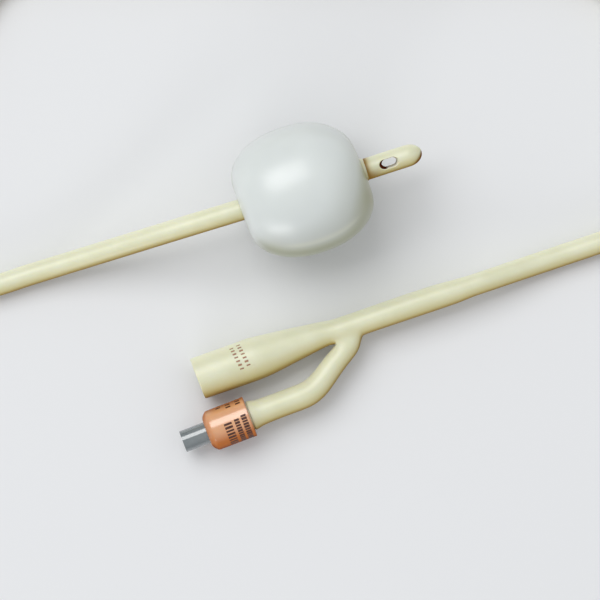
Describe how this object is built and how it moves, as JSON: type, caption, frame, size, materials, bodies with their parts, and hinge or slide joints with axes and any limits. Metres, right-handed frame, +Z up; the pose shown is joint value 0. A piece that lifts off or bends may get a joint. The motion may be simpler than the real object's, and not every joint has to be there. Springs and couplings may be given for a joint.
{
  "type": "foley urinary catheter",
  "caption": "Two-way balloon urinary catheter: shaft with drainage eyes and filled balloon, Y connector with drainage funnel and inflation valve.",
  "frame": {"origin": "the middle of the rigid pieces' footprint, at the lowest point, on the table the catheter lies on", "axes": "+Y from the connector towards the balloon, across the layout; +X towards the shaft's end of the connector; +Z up from the table"},
  "size_m": [0.1985, 0.1224, 0.0323],
  "materials": {
    "latex": "satin",
    "balloon_latex": "satin, stretched thin",
    "sleeve_orange": "gloss",
    "valve_plastic": "clear gloss",
    "stem_plastic": "moulded",
    "seal_rubber": "moulded",
    "spring_steel": "drawn wire"
  },
  "bodies": {
    "catheter": {"shaft": "latex", "drainage_tip": "latex", "balloon": "balloon_latex", "y_connector": "latex", "valve_sleeve": "sleeve_orange", "valve_body": "valve_plastic", "valve_retainer": "stem_plastic", "valve_spring": "spring_steel"},
    "valve_stem": {"valve_stem": "stem_plastic", "valve_seal_ring": "seal_rubber"}
  },
  "joints": [
    {"name": "valve_plunge", "type": "slide", "parent": "catheter", "child": "valve_stem", "axis": [0.9338, 0.3579, 0], "range_m": [0, 0.0015], "stiffness_N_per_m": 250, "deforming": ["valve_spring"]}
  ]
}
